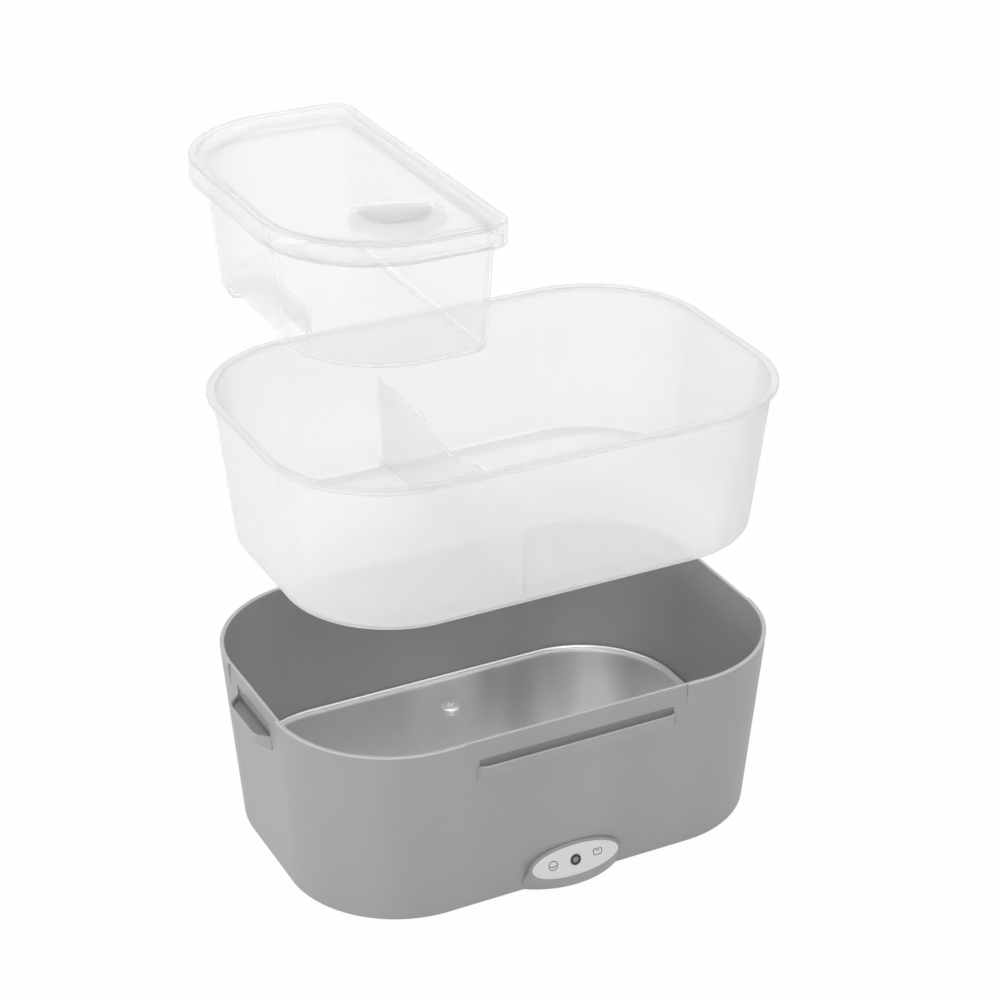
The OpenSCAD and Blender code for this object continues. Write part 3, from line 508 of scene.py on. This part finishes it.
def outline(work, x0, x1, half_y, left_r, right_r, z):
    made = bmesh.ops.create_circle(work, segments=4 * STEPS, radius=1, matrix=Matrix.Rotation(
        math.pi / (4 * STEPS), 4, "Z"))["verts"]
    for vert in made:
        radius, middle_x = (right_r, x1 - right_r) if vert.co.x > 0 else (left_r, x0 + left_r)
        middle = Vector((middle_x, math.copysign(half_y - radius, vert.co.y), z))
        vert.co = middle + radius * vert.co
    return list({edge for vert in made for edge in vert.link_edges})


def keep(name, work):
    bmesh.ops.recalc_face_normals(work, faces=work.faces)
    data = bpy.data.meshes.new(name)
    work.to_mesh(data)
    work.free()
    piece = bpy.data.objects.new(name, data)
    bpy.context.collection.objects.link(piece)
    return piece


def loft(name, rings, closed=False):
    work = bmesh.new()
    loops = [outline(work, *ring) for ring in rings]
    pairs = list(zip(loops, loops[1:])) + ([(loops[-1], loops[0])] if closed else [])
    for low, high in pairs:
        bmesh.ops.bridge_loops(work, edges=low + high)
    if not closed:
        for end in (loops[0], loops[-1]):
            bmesh.ops.contextual_create(work, geom=end)
    return keep(name, work)


def even(half_x, half_y, radius, z):
    return (-half_x, half_x, half_y, radius, radius, z)


def quarter(steps=4):
    """Sine and cosine pairs from 0 to 90 degrees, to round an edge."""
    turns = [math.pi / 2 * step / steps for step in range(steps + 1)]
    return [(math.sin(a), math.cos(a)) for a in turns]


print("sides of an outline:", 4 * STEPS)

# %% [markdown]
# ## Carving
# A pocket or a rib is added with a Boolean modifier, applied at once. Its tools are blocks,
# rods, and flat plans pushed out into prisms. A bevel softens chosen edges.


# %% Tools for carving
def carve(piece, tool, how="DIFFERENCE"):
    change = piece.modifiers.new("carve", "BOOLEAN")
    change.operation, change.object, change.solver = how, tool, "EXACT"
    bpy.context.view_layer.update()
    shaped = bpy.data.meshes.new_from_object(
        piece.evaluated_get(bpy.context.evaluated_depsgraph_get()))
    piece.modifiers.clear()
    piece.data = shaped
    bpy.data.objects.remove(tool)


def block(low, high, turned=0.0):
    work = bmesh.new()
    low, high = Vector(low), Vector(high)
    bmesh.ops.create_cube(work, size=1, matrix=Matrix.Rotation(turned, 4, "Z")
                          @ Matrix.Translation((low + high) / 2)
                          @ Matrix.Diagonal((*(high - low), 1)))
    return keep("tool", work)


def rod(radius, length, where, sides=64):
    work = bmesh.new()
    bmesh.ops.create_cone(work, cap_ends=True, segments=sides, radius1=radius, radius2=radius,
                          depth=length, matrix=where)
    return keep("tool", work)


def verts_of(parts):
    return [part for part in parts if isinstance(part, bmesh.types.BMVert)]


def push_out(work, corners, way):
    """Draws a face through the corners and extrudes it. Returns the moved vertices."""
    face = work.faces.new([work.verts.new(corner) for corner in corners])
    moved = verts_of(bmesh.ops.extrude_face_region(work, geom=[face])["geom"])
    bmesh.ops.translate(work, verts=moved, vec=way)
    return moved


def round_off(work, edges, offset, segments, clamp=False):
    bmesh.ops.bevel(work, geom=edges, offset=offset, offset_type="OFFSET", segments=segments,
                    profile=0.5, affect="EDGES", material=-1, clamp_overlap=clamp)


print("tools for carving ready")

# %% [markdown]
# ## Finishing a piece
# Completing a piece scales it to metres, shades it smooth up to sharp edges, and leaves a
# Weighted Normal modifier, so that broad flats stay flat right up to their rounded edges.
# Then it hangs the piece on the body it rides on and hides the solids it stands for.


# %% Completing a piece
def complete(piece, finish, body, nodes, sharp=35.0):
    piece.data.transform(Matrix.Scale(0.001, 4))
    piece.data.materials.clear()
    piece.data.materials.append(finish.material)
    piece.data.shade_smooth()
    piece.data.set_sharp_from_angle(angle=math.radians(sharp))
    weigh = piece.modifiers.new("flat faces stay flat", "WEIGHTED_NORMAL")
    weigh.keep_sharp = True
    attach(piece, body)
    if nodes:
        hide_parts(*nodes)
    print(piece.name, "faces", len(piece.data.polygons))


# %% [markdown]
# ## Housing
# The housing is one moulding: a drafted wall with a thin rounded rim, a ledge inside that
# carries the plate, four catch lips, and the boss of the indicator. Above each lip the
# curved wall is cut upright, which leaves the short seams that show at the rim. A wall
# with Solidify would have an even thickness but no ledge, so the whole profile is lofted:
# up the outside, over the rim and down the inside.

# %% Housing wall
LEDGE = 18.5


def skin(inset, z):
    fall = 1 - (z - FOOT) / (RIM - FOOT)
    return even(115 - 6.3 * fall - inset, 78.9 - 5.9 * fall - inset,
                53.2 - 2.6 * fall - inset, z)


housing = loft("housing_shell", (
    [skin(0.5 - 0.5 * s, FOOT + 0.5 - 0.5 * c) for s, c in quarter()]
    + [skin(0.5 - 0.5 * c, RIM - 0.5 + 0.5 * s) for s, c in quarter()]
    + [skin(1.5 + 0.5 * s, RIM - 0.5 + 0.5 * c) for s, c in quarter()]
    + [skin(2, LEDGE), skin(7, LEDGE), skin(7, LEDGE - 2), skin(2, LEDGE - 2), skin(2, FOOT)]),
    closed=True)

# Where the wall is, how long a lip is and how far it stands out, and the cut above it
LONG_LIP = SimpleNamespace(wall=78.055, half=47.0, out=2.5, slant=2.0, flat=52.5, groove=4)
END_LIP = SimpleNamespace(wall=114.098, half=19.0, out=6.0, slant=5.5, flat=26.2, groove=16)
LIPS = [(0, LONG_LIP), (math.pi, LONG_LIP), (math.pi / 2, END_LIP), (-math.pi / 2, END_LIP)]
for turned, lip in LIPS:
    swing = Matrix.Rotation(turned, 4, "Z")
    carve(housing, block((-lip.flat, lip.wall, LIP), (lip.flat, lip.wall + 12, LIP + 30),
                         turned))
    lying = swing @ Matrix.Translation(
        (0, lip.wall + lip.groove - 1, LIP)) @ Matrix.Rotation(math.pi / 2, 4, "Y")
    carve(housing, rod(lip.groove, 2 * lip.half - 2, lying, 128))
print("wall faces", len(housing.data.polygons))

# %% [markdown]
# A catch lip is the plan of the lip pushed up into a prism: its ends slant in and their
# corners are bent round, and its underside rises outwards so that it leaves its mould. A
# channel along its top lets the clip of the cover hook in. Its upper edges are softened.

# %% Catch lips
ROOT = 1.2  # how deep a lip reaches into the wall


def bend(first, corner, last, reach, steps=8):
    """Points that round a corner between two others."""
    first, corner, last = Vector(first), Vector(corner), Vector(last)
    there, on = (first - corner).normalized(), (last - corner).normalized()
    shares = [step / steps for step in range(steps + 1)]
    return [corner + there * reach * (1 - t) ** 2 + on * reach * t ** 2 for t in shares]


def lip_prism(half, out, slant, low, high, slope=0.0):
    side = [Vector((half, 0)), Vector((half, ROOT))] + bend(
        (half, ROOT), (half - slant, ROOT + out), (0, ROOT + out), 2)
    plan = side + [Vector((-spot.x, spot.y)) for spot in reversed(side)]
    work = bmesh.new()
    for vert in push_out(work, [(x, y, low + (y - ROOT) * slope) for x, y in plan], (0, 0, 0)):
        vert.co.z = high
    return keep("lip", work)


def soften(piece, offset, choose):
    work = bmesh.new()
    work.from_mesh(piece.data)
    edges = [e for e in work.edges if choose(e) and e.calc_face_angle(0) > 0.5]
    round_off(work, edges, offset, 2, clamp=True)
    work.to_mesh(piece.data)
    work.free()


def upper_edge(edge):
    return (min(v.co.z for v in edge.verts) > LIP - 0.01
            and min(v.co.y for v in edge.verts) > 1.0)


for turned, lip in LIPS:
    ridge = lip_prism(lip.half, lip.out, lip.slant, LIP - 6.5, LIP, math.tan(math.radians(24)))
    carve(ridge, lip_prism(lip.half - 0.9, lip.out - 0.9, lip.slant, LIP - 2.4, LIP + 3))
    soften(ridge, 0.3, upper_edge)
    ridge.data.transform(Matrix.Rotation(turned, 4, "Z")
                         @ Matrix.Translation((0, lip.wall - ROOT, 0)))
    carve(housing, ridge, "UNION")
print("with lips", len(housing.data.polygons))

# %% [markdown]
# The boss swells out of the front wall below the oval indicator. It is the hull of the
# tilted oval and of a slice of a disc at the bottom edge. Its back is cut off at the
# inside of the wall. The oval pocket, the lamp's bore and the inlet's opening follow.

# %% Boss and openings
panel = Matrix.Translation((0, -77.1, 12.8)) @ Matrix.Rotation(math.radians(78), 4, "X")
boss_mesh = bmesh.new()
for depth, grow in ((-8, 0.5), (-0.5, 0.5), (0, 0.0)):
    bmesh.ops.create_circle(boss_mesh, segments=72, radius=1, matrix=panel @ Matrix.Translation(
        (0, 0, depth)) @ Matrix.Diagonal((21.5 + grow, 7.7 + grow, 1, 1)))
for z in (FOOT, FOOT + 0.4):
    disc = bmesh.ops.create_circle(boss_mesh, segments=240, radius=40.48,
                                   matrix=Matrix.Translation((0, -39.02, z)))["verts"]
    bmesh.ops.delete(boss_mesh, geom=[v for v in disc if v.co.y > -71], context="VERTS")
hull = bmesh.ops.convex_hull(boss_mesh, input=boss_mesh.verts)
bmesh.ops.delete(boss_mesh, geom=verts_of(hull["geom_interior"]), context="VERTS")
boss = keep("boss", boss_mesh)
carve(boss, loft("tool", [skin(1.4, -5), skin(1.4, 60)]))
carve(housing, boss, "UNION")

oval_pocket = panel @ Matrix.Translation((0, 0, 1.3)) @ Matrix.Diagonal((20.9, 7.1, 1, 1))
carve(housing, rod(1, 4, oval_pocket, 96))
carve(housing, rod(2.05, 12, panel @ Matrix.Translation((0, 0, -2))))
INLET_Z, SEAT = 10.6, 73.3
carve(housing, block((-18.1, SEAT, INLET_Z - 6.2), (18.1, SEAT + 10, INLET_Z + 6.2)))
carve(housing, block((-11.1, SEAT - 6, INLET_Z - 5.3), (11.1, SEAT + 4, INLET_Z + 5.3)))
complete(housing, shell_grey, "base", ["housing"], 32)

# %% [markdown]
# ## Food tray
# The tray is milky polypropylene. Its wall leans out towards a rolled rim, and its floor is
# raised inside a foot ring. It is lofted like the housing: from the middle of the underside
# out to the foot, up the wall, round the rim, and back down the inside to the floor.


# %% Tray walls
def tray(inset, z):
    share = (z - T_FOOT) / (T_UNDER - T_FOOT)
    return even(105.842 + 6.358 * share - inset, 70.05 + 6.05 * share - inset,
                47 + 3.4 * share - inset, z)


def tray_rim(inset, z):
    return even(114.7 - inset, 78.6 - inset, 52.9 - inset, z)


food_tray = loft("tray_shell", (
    [tray(10, 142.5), tray(7.4, T_FOOT)]
    + [tray(3 - 3 * s, T_FOOT + 3 - 3 * c) for s, c in quarter(6)]
    + [tray(0, T_UNDER - 0.3), tray_rim(2.1, T_UNDER)]
    + [tray_rim(0.6 - 0.6 * s, T_UNDER + 0.6 - 0.6 * c) for s, c in quarter()]
    + [tray_rim(1.1 - 1.1 * c, T_TOP - 1.1 + 1.1 * s) for s, c in quarter(5)]
    + [tray_rim(2.8 + 1.1 * s, T_TOP - 1.1 + 1.1 * c) for s, c in quarter(5)]
    + [tray(1.4, T_UNDER - 1.5)]
    + [tray(3 - 1.6 * c, T_FOOT + 3 - 1.6 * s) for s, c in quarter(6)]
    + [tray(6.84, T_FOOT + 1.4), tray(9.44, 143.9)]))
print("tray wall faces", len(food_tray.data.polygons))

# %% [markdown]
# The divider is a thin sheet across the tray with a scooped top. Its outline follows the
# foot ring below and the leaning walls at its ends. The scoop is half a wave of a cosine.

# %% Divider
DIVIDER_TOP = T_FOOT + 44.2
SCOOP_HALF, SCOOP_FLAT, SCOOP_DEEP = 29, 10, 5
scoop = []
for step in range(33):
    y = SCOOP_HALF - 2 * SCOOP_HALF * step / 32
    share = max(0.0, min(1.0, (abs(y) - SCOOP_FLAT) / (SCOOP_HALF - SCOOP_FLAT)))
    scoop.append((y, DIVIDER_TOP - SCOOP_DEEP * (1 + math.cos(math.pi * share)) / 2))
side = [(-66.9, 140.7), (-62.6, 140.7), (-60.0, 143.2), (60.0, 143.2), (62.6, 140.7),
        (66.9, 140.7), (69.6, 143.5), (73.4, DIVIDER_TOP)]
side += scoop + [(-73.4, DIVIDER_TOP), (-69.6, 143.5)]
work = bmesh.new()
push_out(work, [(DIVIDER_X - 1, y, z) for y, z in side], (2, 0, 0))
round_off(work, [e for e in work.edges if abs(e.verts[0].co.x - e.verts[1].co.x) < 0.1
                 and min(v.co.z for v in e.verts) > 178], 0.6, 3)
carve(food_tray, keep("divider", work), "UNION")
complete(food_tray, frosted, "tray", ["food_tray"])

# %% [markdown]
# ## Side box
# The box is round at the outer end and nearly square towards the divider, so the left
# and right corner radii differ. A notch under the outer end clears the tray's corner. The
# same outlines, moved in by the wall's thickness, make the cavity.

# %% Box outlines
LID_X0, LID_X1, LID_Y = -114.7, -30.1, 78.6
HANG = 4.5   # how far the wall stands back from the lid's edge
LEAN = 4.3   # how much further it stands back at the foot, at the outer end


def dee(x0, x1, half_y, left_r, right_r, z):
    """A ring for a loft, with its radii kept to what the outline has room for."""
    right_r = max(0.3, min(right_r, (x1 - x0) * 0.4, half_y - 0.2))
    left_r = max(0.3, min(left_r, x1 - x0 - right_r - 0.2, half_y - 0.2))
    return (x0, x1, half_y, left_r, right_r, z)


def lid_line(inset, z):
    return dee(LID_X0 + inset, LID_X1 - inset, LID_Y - inset, 47 - inset, 9 - inset, z)


def box_line(inset, z):
    share = max(0.0, (B_FLANGE - z) / (B_FLANGE - B_FOOT))
    return dee(LID_X0 + HANG + LEAN * share + inset, LID_X1 - 4.2 - 0.8 * share - inset,
               LID_Y - HANG - 5.4 * share - inset, 48.4 - 3.4 * share - inset, 7 - inset, z)


def box_foot(inset):
    radius = 4 - inset
    return [box_line(inset + radius * (1 - s), B_FOOT + inset + radius * (1 - c))
            for s, c in quarter(6)]


def notch(grow):
    half, x0 = 26 + grow, LID_X0 + HANG + LEAN
    x1 = x0 + 14 + grow
    side = [(x0 - 20, B_FOOT - 10), (x1, B_FOOT - 10), (x1, B_FOOT + 10 + grow),
            (x0 - 2, B_FOOT + 7 + grow), (x0 - 20, B_FOOT + 7 + grow)]
    work = bmesh.new()
    push_out(work, [(x, -half, z) for x, z in side], (0, 2 * half, 0))
    upright = [e for e in work.edges if abs(e.verts[0].co.z - e.verts[1].co.z) > 5
               and min(v.co.x for v in e.verts) > x1 - 0.1]
    round_off(work, upright, 4 + grow, 8)
    return keep("tool", work)


print("box is", round(LID_X1 - LID_X0, 1), "long over its lid")

# %% Side box
WALL = 1.4
side_box = loft("side_box_shell", (
    box_foot(0) + [box_line(0, B_FLANGE - 0.05), lid_line(1.9, B_FLANGE)]
    + [lid_line(1.7, B_FLANGE + 0.2), lid_line(1.7, B_FLANGE + 1.2),
       lid_line(2.0, B_FLANGE + 1.5), box_line(0, B_FLANGE + 1.55)]
    + [box_line(0, B_TOP - 0.3), box_line(0.1, B_TOP - 0.1), box_line(0.3, B_TOP)]))
carve(side_box, notch(0))
cavity = loft("tool", box_foot(WALL) + [box_line(WALL, B_FLANGE), box_line(WALL, B_TOP + 5)])
carve(cavity, notch(WALL))
carve(side_box, cavity)
complete(side_box, clear_box, "side_box", ["side_box"])

# %% [markdown]
# ## Side lid
# The lid has a raised border round its panel, a rib that seals inside the box, and a
# round thumb dish. The finger pocket in the dish is part of a ball. The lid is lofted
# first. A thicker ball is added from below, the dish is cut flat, and the pocket is
# hollowed with the same ball, which leaves a wall of even thickness.

# %% Lid shell
PANEL, UNDER = 308.9, 307.5
side_lid = loft("side_lid_shell", (
    [box_line(2.6, UNDER), box_line(2.6, UNDER - 2.2), box_line(1.7, UNDER - 2.2),
     box_line(1.7, UNDER - 0.02), lid_line(1.4, UNDER), lid_line(1.4, L_LOW),
     lid_line(0.2, L_LOW), lid_line(0, L_LOW + 0.2)]
    + [lid_line(1.2 - 1.2 * c, L_TOP - 1.2 + 1.2 * s) for s, c in quarter(5)]
    + [lid_line(3.1, L_TOP), lid_line(3.3, L_TOP - 0.1), lid_line(3.4, L_TOP - 0.3),
       lid_line(3.9, PANEL)]))
print("lid shell faces", len(side_lid.data.polygons))

# %% Thumb dish and finger pocket
POCKET_HALF, POCKET_DEEP, POCKET_ASIDE = 14.3, 3.2, 8.6
thumb = Matrix.Translation((THUMB_X, THUMB_Y, 0)) @ Matrix.Rotation(math.radians(-17), 4, "Z")
ball_r = (POCKET_HALF ** 2 + POCKET_DEEP ** 2) / (2 * POCKET_DEEP)


def ball(grow):
    work = bmesh.new()
    bmesh.ops.create_uvsphere(
        work, u_segments=96, v_segments=96, radius=ball_r + grow,
        matrix=thumb @ Matrix.Translation((0, POCKET_ASIDE, DISH - POCKET_DEEP + ball_r)))
    return keep("tool", work)


def cut_to(piece, radius, low, high):
    middle = thumb @ Matrix.Translation((0, 0, (low + high) / 2))
    carve(piece, rod(radius, high - low, middle, 96), "INTERSECT")
    return piece


carve(side_lid, cut_to(ball(WALL), 20.4, DISH - 8, DISH - 0.1), "UNION")
carve(side_lid, rod(19, 5, thumb @ Matrix.Translation((0, 0, DISH + 2.5)), 96))
carve(side_lid, cut_to(ball(0), 18.98, DISH - 8, DISH + 1))
complete(side_lid, clear_lid, "side_lid", ["side_lid"])

# %% [markdown]
# ## Heating plate
# The plate is a pressed tray of steel with a rolled bead all round. A small step inside
# the bead gives the thin grey line that runs along it. Under the plate, a bent hook holds
# the front end of the heater's clamp.


# %% Heating plate
def plate_line(inset, z):
    return even(107.868 - inset, 72.081 - inset, 49 - inset, z)


plate = loft("plate_shell", (
    [plate_line(0.3, 20.1), plate_line(0.1, 20.2), plate_line(0, 20.4), plate_line(0, 21.1)]
    + [plate_line(1.1 - 1.1 * c, 21.1 + 1.8 * s) for s, c in quarter(6)]
    + [plate_line(1.1 + 0.9 * s, 21.5 + 1.4 * c) for s, c in quarter(6)]
    + [plate_line(2.2, 21.5), plate_line(2.9, 21.45), plate_line(3.2, 21.3),
       plate_line(3.4, 21.1)]))
hook_low = (-10, -33.2, 13.4)
for hook_high in ((10, -32, 20.5), (10, -30.2, 14.6)):
    carve(plate, block(hook_low, hook_high), "UNION")
complete(plate, plate_steel, "base", ["heating_plate"])

# %% [markdown]
# The plate's screw has a low pan head with a cross recess. It is drawn as a profile, spun
# once round, and the cross is two bars cut into it.

# %% Pan head of the plate's screw
SCREW_Y, CROSS_TURN = 45, 0.3
profile = [(0, 14.5), (2, 14.5), (2, 21.1), (4.2, 21.1), (4.45, 21.3), (4.5, 21.9)]
profile += [(4.5 - 1.5 * (1 - c), 21.9 + 0.9 * s) for s, c in quarter(5)]
profile += [(1.5, 23.1), (0, 23.2)]
work = bmesh.new()
points = [work.verts.new((x, 0, z)) for x, z in profile]
line = [work.edges.new(pair) for pair in zip(points, points[1:])]
bmesh.ops.spin(work, geom=points + line, cent=(0, 0, 0), axis=(0, 0, 1), angle=2 * math.pi,
               steps=64, use_merge=True)
bmesh.ops.remove_doubles(work, verts=work.verts, dist=0.001)
screw = keep("pan_head", work)
for turned in (CROSS_TURN, CROSS_TURN + math.pi / 2):
    carve(screw, block((-2.1, -0.45, 22.2), (2.1, 0.45, 24), turned))
screw.data.transform(Matrix.Translation((0, SCREW_Y, 0)))
complete(screw, dome_chrome, "base", ["plate_screw"], 40)

# %% [markdown]
# ## Printed signs
# The two signs on the indicator's plate are printed: a dish with its level, and a pot with
# steam over it. A picture could be laid on the plate, but no image is used here. Each sign
# is a flat ribbon along its line, sunk into the plate below and a hair proud above.

# %% Ribbons of ink
INK_LOW, INK_HIGH = 0.25, 0.34


def ribbon(work, points, width=0.34, closed=False):
    points = [Vector(spot) for spot in points]
    count = len(points)
    rows = []
    for k, spot in enumerate(points):
        before = points[(k - 1) % count] if closed or k else spot
        after = points[(k + 1) % count] if closed or k < count - 1 else spot
        along = (after - before).normalized()
        to_side = Vector((-along.y, along.x)) * width / 2
        rows.append([work.verts.new((*(spot + way * to_side), z)) for way, z in (
            (-1, INK_LOW), (1, INK_LOW), (1, INK_HIGH), (-1, INK_HIGH))])
    for k in range(count if closed else count - 1):
        one, two = rows[k], rows[(k + 1) % count]
        for j in range(4):
            work.faces.new((one[j], one[(j + 1) % 4], two[(j + 1) % 4], two[j]))
    if not closed:
        work.faces.new(rows[0])
        work.faces.new(reversed(rows[-1]))


print("ink stands", round(INK_HIGH - INK_LOW, 2), "mm high")

# %% Dish, level, pot and steam
work = bmesh.new()
dish = [(-10.8 + 2.1 * math.cos(a / 16 * math.pi), 0.1 + 2.1 * math.sin(a / 16 * math.pi))
        for a in range(32)]
ribbon(work, dish, closed=True)
ribbon(work, [(-12.5 + 0.34 * k, -0.1 - 0.5 * math.sin(math.pi * k / 10)) for k in range(11)])
ribbon(work, [(9.9, 2.3), (9.2, 2.2), (8.8, 1.8), (8.8, -0.1), (9.2, -0.6), (12.4, -0.6),
              (12.8, -0.1), (12.8, 1.8), (12.4, 2.2), (11.7, 2.3)])
for x in (10.2, 10.8, 11.4):
    steam = [(x + 0.16 * math.sin(2 * math.pi * k / 6), 1.0 + 0.24 * k) for k in range(7)]
    ribbon(work, steam, 0.24)
signs = keep("panel_signs", work)
signs.data.transform(panel)
complete(signs, sign_ink, "base", [])
